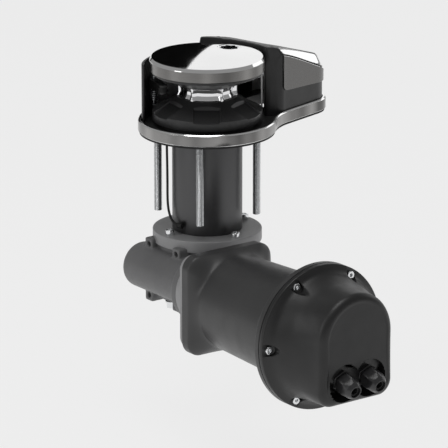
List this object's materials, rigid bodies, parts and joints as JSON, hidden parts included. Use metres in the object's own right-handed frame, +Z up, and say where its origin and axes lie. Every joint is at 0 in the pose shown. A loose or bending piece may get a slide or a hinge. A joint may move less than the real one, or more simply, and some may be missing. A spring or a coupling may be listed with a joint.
{
  "type": "anchor windlass",
  "caption": "Vertical electric anchor windlass: chain gypsy and clutch cap on deck under a half-round hood, spacer tube, worm gearbox and motor below deck.",
  "frame": {"origin": "on the gypsy axis at the deck face, the underside of the base gasket", "axes": "+Z up along the gypsy axis; the motor lies along -Y, 60 mm to the -X side of the gypsy axis; the tail of the base points 15 degrees off +X"},
  "size_m": [0.3306, 0.4823, 0.351],
  "materials": {
    "black_casting": "matt black powder coat on cast aluminium",
    "polished_ring": "brushed and polished stainless steel",
    "chrome_cap": "bright chromed bronze",
    "hood_black": "satin black paint",
    "polished_trim": "polished stainless sheet",
    "stainless": "bright stainless steel",
    "gypsy_black": "satin black hard coat",
    "case_grey": "matt grey paint on cast aluminium",
    "flange_grey": "light grey machined and painted aluminium",
    "tube_grey": "dark grey anodised aluminium tube",
    "cover_black": "moulded black plastic, fine grain",
    "rubber": "black nitrile rubber",
    "bronze": "machined bronze",
    "steel": "machined steel",
    "motor_steel": "zinc plated and painted steel",
    "magnet": "sintered ferrite",
    "copper": "copper",
    "laminations": "varnished laminations and copper wire",
    "gland_black": "black polyamide"
  },
  "bodies": {
    "housing": {"base_gasket": "rubber", "base_ring": "polished_ring", "base_plate": "black_casting", "chain_pipe_collar": "cover_black", "hood_shell": "hood_black", "hood_trim": "polished_trim", "hood_screws": "stainless", "chain_guard": "stainless", "chain_stripper": "stainless", "stripper_screws": "stainless", "control_arm_pin": "stainless", "control_arm_spring": "stainless", "chain_sensor": "black_casting", "sensor_cable": "rubber", "cable_grommet": "rubber", "deck_studs": "stainless", "tube_screws": "stainless", "spacer_tube": "tube_grey", "tube_seal": "rubber", "base_bush": "bronze", "gearbox_flange": "flange_grey", "flange_screws": "stainless", "gearbox_case": "case_grey", "drain_plug": "stainless", "lower_bush": "bronze", "bearing_outer": "steel", "shaft_seal": "rubber", "worm_bearing_rear": "steel", "worm_bearing_front": "steel", "motor_adapter": "flange_grey", "adapter_bolts": "stainless", "motor_cover": "cover_black", "motor_can": "motor_steel", "field_magnets": "magnet", "brush_holder": "gland_black", "brushes": "gland_black", "terminal_studs": "copper", "cap_gasket": "rubber", "end_cap": "cover_black", "end_cap_screws": "stainless", "gland_bodies": "gland_black", "gland_nuts": "gland_black", "gland_seals": "rubber"},
    "drive": {"main_shaft": "steel", "lower_cone": "steel", "cone_key": "steel", "bearing_inner": "steel", "bearing_balls": "steel", "worm_wheel": "bronze"},
    "gypsy": {"gypsy_lower": "gypsy_black", "gypsy_core": "stainless", "gypsy_upper": "gypsy_black"},
    "clutch": {"clutch_cap": "chrome_cap", "socket_insert": "stainless"},
    "worm": {"worm_shaft": "steel", "armature": "laminations", "commutator": "copper"},
    "chain_arm": {"control_arm": "black_casting", "control_arm_roller": "stainless"}
  },
  "joints": [
    {"name": "drive_spin", "type": "hinge", "parent": "housing", "child": "drive", "pos_m": [0, 0, 0], "axis": [0, 0, 1], "continuous": true},
    {"name": "gypsy_freewheel", "type": "hinge", "parent": "drive", "child": "gypsy", "pos_m": [0, 0, 0.0525], "axis": [0, 0, 1], "continuous": true},
    {"name": "clutch_turn", "type": "hinge", "parent": "drive", "child": "clutch", "pos_m": [0, 0, 0.08], "axis": [0, 0, 1], "range_deg": [0, 180]},
    {"name": "worm_spin", "type": "hinge", "parent": "housing", "child": "worm", "pos_m": [-0.06, 0, -0.168], "axis": [0, 1, 0], "continuous": true},
    {"name": "control_arm_lift", "type": "hinge", "parent": "housing", "child": "chain_arm", "pos_m": [-0.03564, 0.05932, 0.0525], "axis": [0, 0, 1], "range_deg": [-10, 0], "stiffness_Nm_per_rad": 0.2, "springref_deg": 17.19}
  ],
  "couplings": [
    {"joint": "worm_spin", "follows": "drive_spin", "ratio": 36}
  ]
}
